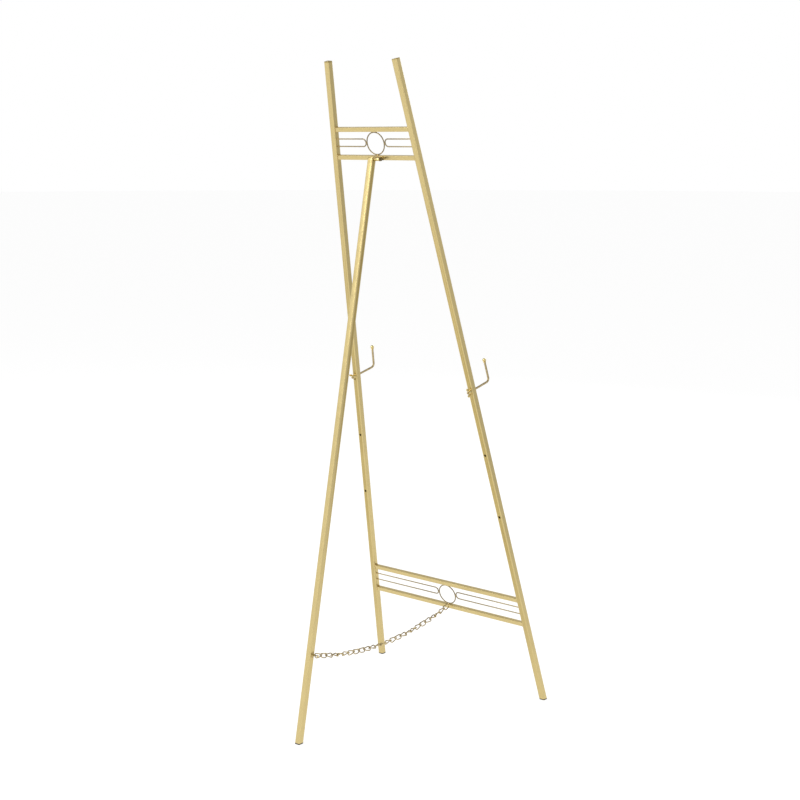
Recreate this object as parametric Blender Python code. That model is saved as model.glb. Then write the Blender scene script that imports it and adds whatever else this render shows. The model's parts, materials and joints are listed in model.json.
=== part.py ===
"""Folding display easel of square steel tube.

Two splayed front legs lean back and are joined by two decorative crossbars. A third leg is
hinged behind the upper crossbar and is held open by a chain. A bent rod hook passes through
each front leg and is clamped by a wing nut. Units are metres, +Z is up, the front faces -Y,
and the origin is on the floor under the middle of the easel's outline.
"""

import math

import bmesh
import bpy
from mathutils import Matrix, Vector

# Overall stance
HEIGHT = 1.634
FEET_DEPTH = 0.6281           # from the front feet's line to the rear foot
FOOT_HALF_SPAN = 0.2796       # half the distance between the front legs at the floor
TOP_HALF_SPAN = 0.1065        # the same at the top
FRONT_LEAN = math.radians(13.54)
FRONT_Y = -FEET_DEPTH / 2

# Tubes and wires
LEG = 0.015
RAIL = 0.011
WALL = 0.0012
LEG_CORNER = 0.0022
RAIL_CORNER = 0.0016
WIRE_R = 0.0015
GAP = 0.0003                  # between pieces that touch
INNER_EASE = WALL * 0.6       # how much tighter a tube's inner corners are than its outer ones

# Crossbars, as heights above the floor of each rail's centre line
UPPER_RAILS = (1.4036, 1.4706)
LOWER_RAILS = (0.2113, 0.2778)
HAIRPIN_HALF = 0.00925        # half the distance between a hairpin's two runs
UPPER_HAIRPIN_LIFT = 0.0015   # a hairpin's centre above its crossbar's centre
LOWER_HAIRPIN_LIFT = 0.0035
RING_X = -0.0035              # the rings sit a little off the middle
END_CLEARANCE = GAP + WIRE_R * 0.2   # keeps a wire's square end off the leg's slanting face

# Feet and caps
GLIDE = 0.0025
CAP = 0.0016
PLUG = 0.010

# Hooks: three holes in each front leg, the hook in the top one
HOLE_HEIGHTS = (0.836, 0.671, 0.508)
HOLE_R = 0.0033
ROD_R = 0.0027
HOOK_REACH = 0.070
HOOK_RISE = 0.055
HOOK_BEND = 0.0095
HOOK_TAIL = 0.0195
BALL_R = 0.00475
WASHER_R = 0.0065
WASHER_T = 0.001
NUT_HEIGHT = 0.0075
NUT_R = 0.0055
WING_SPAN = 0.01175           # from the rod's axis to a wing's tip
WING_TIP_R = 0.0035
WING_T = 0.0022
WING_LOW = 0.0012             # heights above the nut's seat: a wing's lower edge,
WING_ROOT = 0.0058            # its top where it leaves the hub,
WING_LIFT = 0.0085            # and its tip's centre
WING_TURN = {"left": math.radians(-34), "right": math.radians(90)}

# Rear leg and its hinge
REAR_X = 0.0025
HINGE_BEHIND = 0.0165         # the hinge axis behind the rail's centre line
REAR_TOP = 0.0065             # the rear leg's top above the hinge axis
KNUCKLE_R = 0.0042
KNUCKLE_LENGTH = 0.0175
PLATE_HALF = 0.0035           # half the height of the knuckle's plate on the rail
BOLT_R = 0.0025
BOLT_HEAD_R = 0.0046
BOLT_HEAD_T = 0.0036
BOLT_END_X = -0.0345
HINGE_WASHER_R = 0.005
HINGE_WASHER_T = 0.001
HINGE_NUT_R = 0.0046
HINGE_NUT_T = 0.004

# Chain
CHAIN_X = -0.0122
LINKS = 26
PITCH = 0.02022
LINK_WIRE_R = 0.0013
LINK_HALF_WIDTH = 0.00545     # to the centre of the wire
LINK_GAP = 0.0005
RAIL_EYE_OUT = 0.0075         # the staple's bar behind the rail's rear face,
RAIL_EYE_RISE = 0.009         # and above the rail's centre line
STAPLE_FOOT = 0.003           # its legs' ends above the rail's centre line
STAPLE_HALF = 0.0056
STAPLE_CORNER = 0.0018
LEG_EYE_HEIGHT = 0.2153
LEG_EYE_AHEAD = 0.0045        # in front of the rear leg's centre line
PIN_HEAD_R = 0.003
PIN_REACH = 0.0062            # from the link's middle out to the pin's head
LINK_CURL = math.radians(35)  # a curb link's ends, turned this much either way
# How the chain lies twisted: link numbers, and the turn of a link's middle from lying flat
TWIST_AT = ((1, 290), (8.1, 55), (13.1, -125), (21, -305), (26, -460))

UP = Vector((0, math.sin(FRONT_LEAN), math.cos(FRONT_LEAN)))
BACK = Vector((0, math.cos(FRONT_LEAN), -math.sin(FRONT_LEAN)))
ACROSS = Vector((1, 0, 0))
FLOOR_UP = Vector((0, 0, 1))
SIDES = {"left": 1, "right": -1}

COLOURS = {
    "gold_steel": ((0.60, 0.44, 0.16), 0.38, 1.0),
    "gold_wire": ((0.55, 0.42, 0.20), 0.35, 1.0),
    "brass": ((0.78, 0.56, 0.17), 0.22, 1.0),
    "black_plastic": ((0.02, 0.02, 0.02), 0.55, 0.0),
}


# ---------------------------------------------------------------- helpers

def clear_scene():
    for item in list(bpy.data.objects):
        bpy.data.objects.remove(item, do_unlink=True)


def paint(item, finish):
    colour, roughness, metallic = COLOURS[finish]
    material = bpy.data.materials.new(item.name)
    material.use_nodes = True
    shader = material.node_tree.nodes["Principled BSDF"]
    shader.inputs["Base Color"].default_value = (*colour, 1)
    shader.inputs["Roughness"].default_value = roughness
    shader.inputs["Metallic"].default_value = metallic
    item.data.materials.append(material)


def make(name, loops, finish, origin=(0, 0, 0), closed=False):
    """Skin loops of equal length. Open skins are capped, closed ones join end to start."""
    origin = Vector(origin)
    mesh = bmesh.new()
    rings = [[mesh.verts.new(Vector(p) - origin) for p in loop] for loop in loops]
    pairs = list(zip(rings, rings[1:]))
    if closed:
        pairs.append((rings[-1], rings[0]))
    else:
        mesh.faces.new(rings[0])
        mesh.faces.new(rings[-1])
    for low, high in pairs:
        count = len(low)
        for k in range(count):
            n = (k + 1) % count
            mesh.faces.new((low[k], low[n], high[n], high[k]))
    bmesh.ops.recalc_face_normals(mesh, faces=mesh.faces)
    data = bpy.data.meshes.new(name)
    mesh.to_mesh(data)
    mesh.free()
    data.shade_smooth()
    data.set_sharp_from_angle(angle=math.radians(35))
    item = bpy.data.objects.new(name, data)
    item.location = origin
    bpy.context.collection.objects.link(item)
    paint(item, finish)
    return item


def in_plane(x, up, back=0.0):
    """A point in the front legs' leaning plane, by its distances along and behind it."""
    return Vector((x, FRONT_Y, 0)) + UP * up + BACK * back


def circle(centre, side, other, radius, count):
    turn = 2 * math.pi / count
    return [centre + (side * math.cos(k * turn) + other * math.sin(k * turn)) * radius
            for k in range(count)]


def rounded_square(size, corner, steps=2):
    """Outline points of a square with round corners, as pairs about its centre."""
    inner = size / 2 - corner
    points = []
    for quarter in range(4):
        middle = math.radians(45 + 90 * quarter)
        cx = math.copysign(inner, math.cos(middle))
        cy = math.copysign(inner, math.sin(middle))
        for k in range(steps + 1):
            angle = math.radians(90 * quarter + 90 * k / steps)
            points.append((cx + corner * math.cos(angle), cy + corner * math.sin(angle)))
    return points


def cut_at(outline, centre, run, side, point, normal):
    """Where the lines along run through an outline meet a plane."""
    other = run.cross(side).normalized()
    loop = []
    for a, b in outline:
        start = centre + side * a + other * b
        loop.append(start + run * ((point - start).dot(normal) / run.dot(normal)))
    return loop


def tube(name, size, corner, centre, run, side, start, end, finish="gold_steel"):
    """Square tube along run between two cutting planes, each a point and a normal."""
    outer = rounded_square(size, corner)
    inner = rounded_square(size - 2 * WALL, corner - INNER_EASE)
    loops = [cut_at(outer, centre, run, side, *start), cut_at(outer, centre, run, side, *end),
             cut_at(inner, centre, run, side, *end), cut_at(inner, centre, run, side, *start)]
    return make(name, loops, finish, origin=centre, closed=True)


def wire(name, path, radius, sides, finish, origin=None, closed=False):
    """Round wire swept along a flat path of points."""
    normal = Vector((0, 0, 0))
    for a, b, c in zip(path, path[1:], path[2:]):
        normal += (b - a).cross(c - b)
    if normal.length < 1e-12:
        normal = (path[1] - path[0]).orthogonal()
    normal.normalize()
    count = len(path)
    loops = []
    for k in range(count):
        before = path[k - 1] if closed or k else path[k]
        after = path[(k + 1) % count] if closed or k < count - 1 else path[k]
        run = (after - before).normalized()
        loops.append(circle(path[k], normal, run.cross(normal), radius, sides))
    return make(name, loops, finish, origin=path[0] if origin is None else origin, closed=closed)


def turned(name, profile, centre, axis, finish, count=16, closed=True):
    """A turned piece from pairs of radius and distance along its axis."""
    side = axis.orthogonal().normalized()
    other = axis.cross(side)
    loops = [circle(centre + axis * along, side, other, r, count) for r, along in profile]
    return make(name, loops, finish, origin=centre, closed=closed)


def arc(centre, first, second, radius, start, end, steps):
    """Points of an arc from start to end, angles counted from first towards second."""
    span = end - start
    return [centre + (first * math.cos(start + span * k / steps)
                      + second * math.sin(start + span * k / steps)) * radius
            for k in range(steps + 1)]


def boolean(item, tool, operation):
    tool.hide_render = True
    tool.display_type = "WIRE"
    change = item.modifiers.new(operation.lower() + "_" + tool.name, "BOOLEAN")
    change.operation = operation
    change.object = tool


def drill(item, centre, axis, radius, depth):
    side = axis.orthogonal().normalized()
    other = axis.cross(side)
    ends = [circle(centre + axis * d, side, other, radius, 16) for d in (-depth, depth)]
    boolean(item, make("cutter_" + item.name, ends, "gold_steel", origin=centre), "DIFFERENCE")


# ---------------------------------------------------------------- front frame

def leg_line(side):
    """A front leg's foot point and its direction up the leg."""
    foot = in_plane(side * FOOT_HALF_SPAN, 0)
    top = in_plane(side * TOP_HALF_SPAN, HEIGHT / UP.z)
    return foot, (top - foot).normalized()


def on_leg(side, height):
    foot, run = leg_line(side)
    return foot + run * (height / run.z)


def inner_face(side, clearance):
    """Plane of a front leg's inner face, as a point and a normal."""
    foot, run = leg_line(side)
    inward = run.cross(BACK).normalized()
    if inward.x * side > 0:
        inward.negate()
    return foot + inward * (LEG / 2 + clearance), inward


def x_at_face(side, up, clearance):
    """How far across a point at this height in the front plane meets a leg's inner face."""
    point, normal = inner_face(side, clearance)
    start = in_plane(0, up)
    return (point - start).dot(normal) / normal.x


def foot_glide(name, foot, run, side):
    """Plastic glide: a flange cut level with the floor, and a plug inside the tube."""
    outer = rounded_square(LEG, LEG_CORNER)
    plug = rounded_square(LEG - 2 * WALL - 2 * GAP, LEG_CORNER - INNER_EASE)
    levels = [(outer, 0), (outer, GLIDE), (plug, GLIDE), (plug, GLIDE + PLUG)]
    loops = [cut_at(outline, foot, run, side, Vector((0, 0, z)), FLOOR_UP)
             for outline, z in levels]
    make(name, loops, "black_plastic", origin=foot)


def end_cap(name, top, run, side, finish="gold_steel"):
    """Flat cap on a tube's top end, with a plug inside the tube."""
    outer = rounded_square(LEG, LEG_CORNER)
    plug = rounded_square(LEG - 2 * WALL - 2 * GAP, LEG_CORNER - INNER_EASE)
    levels = [(outer, 0), (outer, -CAP), (plug, -CAP), (plug, -CAP - PLUG)]
    loops = [cut_at(outline, top, run, side, top + run * along, run)
             for outline, along in levels]
    make(name, loops, finish, origin=top)


def front_leg(label, side):
    foot, run = leg_line(side)
    drop = LEG / 2 * math.hypot(run.x, run.y)
    top = on_leg(side, HEIGHT - drop)
    start = Vector((0, 0, GLIDE + GAP)), FLOOR_UP
    end = top - run * (CAP + GAP), run
    leg = tube("front_leg_" + label, LEG, LEG_CORNER, foot, run, BACK, start, end)
    for height in HOLE_HEIGHTS:
        drill(leg, on_leg(side, height), BACK, HOLE_R, LEG)
    foot_glide("front_foot_" + label, foot, run, BACK)
    end_cap("top_cap_" + label, top, run, BACK)


def crossbar(label, heights, lift):
    """Two rails with a ring between them and a hairpin of wire on each side."""
    low, high = (z / UP.z for z in heights)
    for name, up in (("bottom", low), ("top", high)):
        centre = in_plane(0, up)
        ends = [inner_face(side, GAP) for side in (1, -1)]
        tube(label + "_rail_" + name, RAIL, RAIL_CORNER, centre, ACROSS, BACK, *ends)
    middle = (low + high) / 2
    ring_r = (high - low - RAIL) / 2 - GAP - WIRE_R
    centre = in_plane(RING_X, middle)
    ring = arc(centre, ACROSS, UP, ring_r, 0, 2 * math.pi, 24)[:-1]
    wire(label + "_ring", ring, WIRE_R, 6, "gold_wire", origin=centre, closed=True)
    for name, side in SIDES.items():
        tip = ring_r + WIRE_R + GAP + WIRE_R
        bend = in_plane(RING_X + side * (tip + HAIRPIN_HALF), middle + lift)
        path = arc(bend, UP, ACROSS * -side, HAIRPIN_HALF, 0, math.pi, 8)
        top, bottom = (in_plane(x_at_face(side, up, END_CLEARANCE), up)
                       for up in (middle + lift + HAIRPIN_HALF, middle + lift - HAIRPIN_HALF))
        wire(label + "_wire_" + name, [top, *path, bottom], WIRE_R, 6, "gold_wire")


# ---------------------------------------------------------------- hooks

def hook(label, side):
    """Bent rod through the leg, ball, washer and wing nut, turning about the rod's axis."""
    centre = on_leg(side, HOLE_HEIGHTS[0])
    run = leg_line(side)[1]
    tail = centre + BACK * HOOK_TAIL
    corner = centre - BACK * (HOOK_REACH - HOOK_BEND) + run * HOOK_BEND
    bend = arc(corner, -run, -BACK, HOOK_BEND, 0, math.pi / 2, 6)
    ball = centre - BACK * HOOK_REACH + run * HOOK_RISE
    path = [tail, *bend, ball - run * (BALL_R + GAP)]
    wire("hook_" + label, path, ROD_R, 12, "brass", origin=centre)
    profile = [(BALL_R * math.sin(a), -BALL_R * math.cos(a))
               for a in (math.radians(15 + 150 * k / 8) for k in range(9))]
    turned("hook_ball_" + label, profile, ball, run, "brass", 12, closed=False)
    seat = LEG / 2 + GAP
    bore = ROD_R + GAP
    ring = [(bore, seat), (WASHER_R, seat), (WASHER_R, seat + WASHER_T), (bore, seat + WASHER_T)]
    turned("hook_washer_" + label, ring, centre, BACK, "brass")
    wing_nut(label, centre, seat + WASHER_T + GAP, run, bore)


def wing_nut(label, centre, seat, run, bore):
    top = seat + NUT_HEIGHT
    hub = [(bore, seat), (NUT_R, seat), (NUT_R * 0.8, top), (bore, top)]
    nut = turned("wing_nut_" + label, hub, centre, BACK, "brass")
    turn = Matrix.Rotation(WING_TURN[label], 3, BACK)
    flat = turn @ BACK.cross(run).normalized()
    thick = BACK.cross(flat).normalized() * (WING_T / 2)
    for way, end in (("a", 1), ("b", -1)):
        out = flat * end
        inside = centre + out * (bore + 0.0008)
        tip = centre + out * (WING_SPAN - WING_TIP_R) + BACK * (seat + WING_LIFT)
        outline = [inside + BACK * (seat + WING_ROOT), inside + BACK * (seat + WING_LOW),
                   centre + out * (NUT_R + 0.001) + BACK * (seat + WING_LOW)]
        outline += arc(tip, out, BACK, WING_TIP_R, math.radians(-50), math.radians(120), 6)
        faces = [[p + thick * s for p in outline] for s in (-1, 1)]
        wing = make("wing_" + way + "_" + label, faces, "brass", origin=centre)
        boolean(nut, wing, "UNION")


# ---------------------------------------------------------------- rear leg and hinge

def hinge_axis():
    return in_plane(REAR_X, UPPER_RAILS[0] / UP.z, HINGE_BEHIND)


def rear_line():
    """The rear leg's foot point and its direction up the leg."""
    foot = Vector((REAR_X, FRONT_Y + FEET_DEPTH, 0))
    return foot, (hinge_axis() - foot).normalized()


def rear_leg():
    foot, run = rear_line()
    pivot = hinge_axis()
    top = pivot + run * REAR_TOP
    start = Vector((0, 0, GLIDE + GAP)), FLOOR_UP
    end = top - run * (CAP + GAP), run
    leg = tube("rear_leg", LEG, LEG_CORNER, pivot, run, ACROSS, start, end)
    drill(leg, pivot, ACROSS, BOLT_R + GAP, LEG)
    foot_glide("rear_foot", foot, run, ACROSS)
    outer = rounded_square(LEG, LEG_CORNER)
    loops = [cut_at(outer, top, run, ACROSS, top + run * along, run) for along in (0, -CAP)]
    make("rear_leg_cap", loops, "gold_steel", origin=pivot)


def hinge():
    """Knuckle welded behind the upper crossbar's bottom rail, and the leg's bolt through it."""
    pivot = hinge_axis()
    near = REAR_X - LEG / 2 - GAP
    far = near - KNUCKLE_LENGTH
    rail_face = HINGE_BEHIND - RAIL / 2 - GAP
    outline = arc(Vector((0, 0, 0)), BACK, UP, KNUCKLE_R, math.radians(-100), math.radians(100), 8)
    outline += [UP * PLATE_HALF - BACK * rail_face, UP * -PLATE_HALF - BACK * rail_face]
    loops = [[Vector((x, pivot.y, pivot.z)) + p for p in outline] for x in (near, far)]
    knuckle = make("hinge_bracket", loops, "brass", origin=pivot)
    drill(knuckle, pivot, ACROSS, BOLT_R + GAP, 0.05)
    base = Vector((0, pivot.y, pivot.z))
    head = REAR_X + LEG / 2 + GAP
    crown = head + BOLT_HEAD_T
    bolt = [(BOLT_R, BOLT_END_X), (BOLT_R, head), (BOLT_HEAD_R, head),
            (BOLT_HEAD_R * 0.9, crown - 0.0008), (BOLT_HEAD_R * 0.5, crown)]
    turned("hinge_bolt", bolt, base, ACROSS, "brass", 12, closed=False)
    bore = BOLT_R + GAP
    outer = far - GAP
    inner = outer - HINGE_WASHER_T
    ring = [(bore, outer), (HINGE_WASHER_R, outer), (HINGE_WASHER_R, inner), (bore, inner)]
    turned("hinge_washer", ring, base, ACROSS, "brass", 16)
    seat = inner - GAP
    hexagon = [(HINGE_NUT_R, seat), (HINGE_NUT_R, seat - HINGE_NUT_T)]
    nut = turned("hinge_nut", hexagon, base, ACROSS, "brass", 6, closed=False)
    drill(nut, base, ACROSS, bore, 0.05)


# ---------------------------------------------------------------- chain

def chain_ends():
    """Centres of the rail staple's bar and of the rear leg's pin, which the end links hang on."""
    rail = in_plane(CHAIN_X, LOWER_RAILS[0] / UP.z + RAIL_EYE_RISE, RAIL / 2 + RAIL_EYE_OUT)
    foot, run = rear_line()
    on_line = foot + run * (LEG_EYE_HEIGHT / run.z)
    ahead = run.cross(ACROSS).normalized()
    if ahead.y > 0:
        ahead.negate()
    pin = on_line + ahead * LEG_EYE_AHEAD
    return rail, Vector((CHAIN_X, pin.y, pin.z))


def hanging_points(start, end, count, pitch):
    """Points of equal spacing on the parabola whose length is count times pitch."""
    def at(t, sag):
        return start.lerp(end, t) - FLOOR_UP * (4 * sag * t * (1 - t))

    def walk(sag):
        points = [start]
        t = 0.0
        for _ in range(count):
            low, high = t, t + 0.2
            for _ in range(40):
                middle = (low + high) / 2
                if (at(middle, sag) - points[-1]).length < pitch:
                    low = middle
                else:
                    high = middle
            t = low
            points.append(at(t, sag))
        return points, t

    low, high = 0.001, 0.2
    for _ in range(50):
        sag = (low + high) / 2
        if walk(sag)[1] > 1:
            low = sag
        else:
            high = sag
    return walk(sag)[0]


def link_twist(number):
    """A link's turn about the chain, between the turns that TWIST_AT gives."""
    for (low, first), (high, last) in zip(TWIST_AT, TWIST_AT[1:]):
        if number <= high:
            return math.radians(first + (last - first) * (number - low) / (high - low))
    return 0.0


def chain_link(number, start, end):
    """Curb link: an oval of wire with its two ends turned against each other."""
    run = (end - start).normalized()
    middle = (start + end) / 2
    half = (PITCH + LINK_GAP) / 2 + LINK_WIRE_R
    oval = []
    for way in (1, -1):
        bend = Vector((way * (half - LINK_HALF_WIDTH), 0, 0))
        oval += arc(bend, Vector((0, way, 0)), Vector((way, 0, 0)), LINK_HALF_WIDTH, 0, math.pi, 6)
    path = []
    for point in oval:
        turn = link_twist(number) + LINK_CURL * point.x / half
        path.append(middle + run * point.x + Matrix.Rotation(turn, 3, run) @ ACROSS * point.y)
    loops = []
    for k, point in enumerate(path):
        along = (path[(k + 1) % len(path)] - path[k - 1]).normalized()
        out = (point - middle) - along * (point - middle).dot(along)
        out.normalize()
        loops.append(circle(point, out, along.cross(out), LINK_WIRE_R, 6))
    make("chain_link_%02d" % number, loops, "brass", origin=start, closed=True)


def rail_eye(bar):
    """Staple behind the lowest rail: a bar along X on two legs that slope down to the rail."""
    slope = (BACK * RAIL_EYE_OUT + UP * (RAIL_EYE_RISE - STAPLE_FOOT)).normalized()
    corner_room = LINK_WIRE_R * slope.dot(UP) + GAP
    length = (RAIL_EYE_OUT - corner_room) / slope.dot(BACK)
    rail = bar - slope * length
    path = [rail + ACROSS * STAPLE_HALF]
    for way in (1, -1):
        bend = bar + ACROSS * (way * (STAPLE_HALF - STAPLE_CORNER)) - slope * STAPLE_CORNER
        points = arc(bend, ACROSS * way, slope, STAPLE_CORNER, 0, math.pi / 2, 3)
        path += points if way == 1 else points[::-1]
    path.append(rail - ACROSS * STAPLE_HALF)
    wire("rail_chain_eye", path, LINK_WIRE_R, 8, "brass", origin=bar)


def leg_eye(pin):
    """Pin beside the rear leg, with a collar at the leg and a head outside the last link."""
    inside = REAR_X - LEG / 2 - GAP - CHAIN_X
    profile = [(PIN_HEAD_R, inside), (PIN_HEAD_R, inside - 0.0008),
               (LINK_WIRE_R, inside - 0.0008), (LINK_WIRE_R, -PIN_REACH),
               (PIN_HEAD_R, -PIN_REACH), (PIN_HEAD_R, -PIN_REACH - 0.0012),
               (PIN_HEAD_R / 2, -PIN_REACH - 0.002)]
    turned("leg_chain_eye", profile, pin, ACROSS, "brass", 12, closed=False)


def chain():
    bar, pin = chain_ends()
    slack = LINK_WIRE_R + LINK_GAP / 2
    first = bar - (pin - bar).normalized() * slack
    last = pin + (pin - bar).normalized() * slack
    points = hanging_points(first, last, LINKS, PITCH)
    for number in range(1, LINKS + 1):
        chain_link(number, points[number - 1], points[number])
    rail_eye(bar)
    leg_eye(pin)


def main():
    clear_scene()
    for label, side in SIDES.items():
        front_leg(label, side)
        hook(label, side)
    crossbar("upper", UPPER_RAILS, UPPER_HAIRPIN_LIFT)
    crossbar("lower", LOWER_RAILS, LOWER_HAIRPIN_LIFT)
    rear_leg()
    hinge()
    chain()


main()
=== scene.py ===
"""Looks of the display easel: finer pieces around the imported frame, materials, light, camera.

Every piece is built where its CAD node lies, rides on that node's body and stands for it.
Units are metres, +Z is up and the front faces -Y.
"""

import json
import math

import bmesh
import bpy
import numpy as np
from mathutils import Matrix, Vector, noise


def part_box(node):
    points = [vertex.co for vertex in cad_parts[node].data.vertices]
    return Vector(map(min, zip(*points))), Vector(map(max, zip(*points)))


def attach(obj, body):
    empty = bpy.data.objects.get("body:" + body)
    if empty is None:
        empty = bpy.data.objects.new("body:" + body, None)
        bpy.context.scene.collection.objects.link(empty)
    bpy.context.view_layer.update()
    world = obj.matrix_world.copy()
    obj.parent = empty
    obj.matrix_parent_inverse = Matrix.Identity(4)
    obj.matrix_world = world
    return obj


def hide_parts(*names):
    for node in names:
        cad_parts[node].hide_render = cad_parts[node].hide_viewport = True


# Tubes, wires and holes, as in the CAD part. Spare holes are given by their height
LEG = 0.015
RAIL = 0.011
WALL = 0.0012
LEG_CORNER = 0.0022
RAIL_CORNER = 0.0016
WIRE_R = 0.0015
HAIRPIN_HALF = 0.00925
GAP = 0.0003
HOLE_R = 0.0033
SPARE_HOLES = (0.671, 0.508)

# Caps and glides, whose plug fits inside the tube
CAP_T = 0.0016
CAP_EASE = 0.0005
FLANGE_T = 0.0025
FLANGE_EASE = 0.0006
PLUG_LENGTH = 0.010
PLUG = LEG - 2 * WALL - 2 * GAP
PLUG_CORNER = LEG_CORNER * 0.6

# Welds: the bead round a rail's end, the hinge's bead, and tacks as half-axes across, up and back
BEAD_R = 0.00085
BEAD_STEP = 0.0012
BEAD_STAND = 0.0006
HINGE_BEAD_R = 0.0010
RING_TACK = (0.0036, 0.0009, 0.0014)
WIRE_TACK = (0.0012, 0.0026, 0.0026)
SIDE_TACK = (0.0013, 0.0022, 0.0015)
STAPLE_TACK = (0.0023, 0.0025, 0.0010)

# Hooks and wing nuts
ROD_R = 0.0027
THREAD_PITCH = 0.0008
THREAD_DEPTH = 0.00028
THREAD_FADE = 0.0015
THREAD_SAMPLES = 6
ROD_SIDES = 14
HOOK_REACH = 0.070
HOOK_RISE = 0.055
HOOK_BEND = 0.0095
HOOK_TAIL = 0.0195
TAIL_EASE = 0.0006
BALL_R = 0.00475
WASHER_R = 0.0065
WASHER_T = 0.001
WASHER_EASE = 0.0002
NUT_R = 0.0055
NUT_HEIGHT = 0.0075
WING_SPAN = 0.01175
WING_T = 0.0022
WING_TIP_R = 0.0033
WING_TIP_IN = 0.0035
WING_RISE = 0.0085
WING_LOW = 0.0012
WING_ROOT = 0.0060
WING_ROOT_IN = 0.0008
WING_SHOULDER = 0.0006
MELT_VOXEL = 0.00028

# Hinge. A hole drilled to the depth THROUGH passes right through its piece
KNUCKLE_R = 0.0042
KNUCKLE_EASE = 0.0005
PLATE_HALF = 0.0035
BOLT_R = 0.0025
BOLT_HEAD_R = 0.0046
BOLT_HEAD_T = 0.0030
BOLT_RIM = 0.0004
BOLT_TIP = 0.0006
BOLT_THREADS = 30
HINGE_WASHER_R = 0.005
HINGE_NUT_R = 0.0046
NUT_EASE = 0.0004
THROUGH = 0.05

# Chain
LINK_WIRE_R = 0.0013
LINK_HALF_LENGTH = 0.01166
LINK_HALF_WIDTH = 0.00545
LINK_CURL = math.radians(35)
STAPLE_HALF = 0.0056
STAPLE_CORNER = 0.0018
STAPLE_FOOT_ZONE = 0.0021
PIN_HEAD_R = 0.0030
PIN_HEAD_T = 0.0014

# Floor and surroundings: strength at the light and the dark end, and where each of them lies
FLOOR_R = 40.0
FLOOR_GREY = (0.40, 0.40, 0.40)
FLOOR_GLOW = (0.74, 0.30)
FLOOR_FADE = (1.15, 2.8)
FLOOR_DARK_WAY = (-1.0, -0.25, 0.0)
SKY_OVERHEAD = (1.0, 0.35)
OVERHEAD_FADE = (0.25, 0.95)
SKY_SIDEWAYS = (1.0, 0.80)
SIDEWAYS_FADE = (0.35, 0.95)
SKY_DARK_WAY = (-0.80, -0.60, 0.0)

# Lamps: name, place, diameter and power
LAMP_TARGET = (0, 0, 0.8)
LAMPS = (
    ("key", (1.2, 3.6, 3.4), 1.6, 88),
    ("fill", (-3.6, 1.0, 2.2), 2.4, 20),
    ("front", (0.8, -3.8, 2.8), 2.4, 40),
)

# Camera: where it stands, its heading and tilt, and its lens on a 36 mm sensor
CAMERA_PLACE = (-2.4351, 2.8107, 1.4484)
CAMERA_HEADING = math.radians(220.28)
CAMERA_TILT = math.radians(9.80)
CAMERA_LENS = 68.09

# Mesh building: the angle from which an edge shades sharp, on most pieces, threads and welds,
# the length of tube that counts as its end, and the sum of turns below which a path is straight
SHARP_EDGE = math.radians(35)
THREAD_EDGE = math.radians(60)
WELD_EDGE = math.radians(80)
END_ZONE = 0.010
STRAIGHT = 1e-12

ACROSS = Vector((1, 0, 0))
FLOOR_UP = Vector((0, 0, 1))
SIDES = {"left": 1, "right": -1}

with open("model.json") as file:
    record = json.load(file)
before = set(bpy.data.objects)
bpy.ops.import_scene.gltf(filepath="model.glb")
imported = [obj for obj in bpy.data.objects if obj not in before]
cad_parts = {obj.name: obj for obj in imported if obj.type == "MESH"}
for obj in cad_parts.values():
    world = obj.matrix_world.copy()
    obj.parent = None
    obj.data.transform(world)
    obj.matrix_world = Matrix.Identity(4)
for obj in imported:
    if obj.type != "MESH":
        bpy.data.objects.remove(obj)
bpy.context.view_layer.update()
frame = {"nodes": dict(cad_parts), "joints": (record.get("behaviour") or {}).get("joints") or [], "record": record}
JOINTS = {joint["name"]: joint for joint in frame["joints"]}
BACK = Vector(JOINTS["hook_left_swivel"]["axis"])
UP = ACROSS.cross(BACK).normalized()
BODY_OF = {node: body for body, nodes in frame["record"]["behaviour"]["bodies"].items()
           for node in nodes}


# ---------------------------------------------------------------- material nodes

def shader_tree(name, colour, roughness, metallic):
    """A new material with its nodes, links and shader."""
    material = bpy.data.materials.new(name)
    material.use_nodes = True
    nodes = material.node_tree.nodes
    shader = nodes["Principled BSDF"]
    shader.inputs["Base Color"].default_value = (*colour, 1)
    shader.inputs["Roughness"].default_value = roughness
    shader.inputs["Metallic"].default_value = metallic
    return material, nodes, material.node_tree.links, shader


def noise_at(nodes, links, scale, detail=3.0, stretch=None):
    """Noise over the object's own coordinates, so that it rides with the piece."""
    place = nodes.new("ShaderNodeTexCoord")
    texture = nodes.new("ShaderNodeTexNoise")
    texture.inputs["Scale"].default_value = scale
    texture.inputs["Detail"].default_value = detail
    source = place.outputs["Object"]
    if stretch:
        mapping = nodes.new("ShaderNodeMapping")
        mapping.inputs["Scale"].default_value = stretch
        links.new(source, mapping.inputs["Vector"])
        source = mapping.outputs["Vector"]
    links.new(source, texture.inputs["Vector"])
    return texture.outputs["Fac"]


def spread(nodes, links, value, low, high, start=0.35, end=0.65):
    """Maps values from start to end, such as a texture's middle range, to low to high."""
    ranger = nodes.new("ShaderNodeMapRange")
    ranger.inputs["From Min"].default_value = start
    ranger.inputs["From Max"].default_value = end
    ranger.inputs["To Min"].default_value = low
    ranger.inputs["To Max"].default_value = high
    links.new(value, ranger.inputs["Value"])
    return ranger.outputs["Result"]


def distance_along(nodes, links, place, way):
    """How far a place lies along a direction."""
    product = nodes.new("ShaderNodeVectorMath")
    product.operation = "DOT_PRODUCT"
    product.inputs[1].default_value = way
    links.new(place, product.inputs[0])
    return product.outputs["Value"]


def blend_colours(nodes, links, factor, first, second):
    """Mixes two colours, each a triple or another node's output."""
    mix = nodes.new("ShaderNodeMix")
    mix.data_type = "RGBA"
    links.new(factor, mix.inputs["Factor"])
    for socket, colour in (("A", first), ("B", second)):
        target = [s for s in mix.inputs if s.name == socket and s.type == "RGBA"][0]
        if isinstance(colour, bpy.types.NodeSocket):
            links.new(colour, target)
        else:
            target.default_value = (*colour, 1)
    return [s for s in mix.outputs if s.type == "RGBA"][0]


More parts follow.
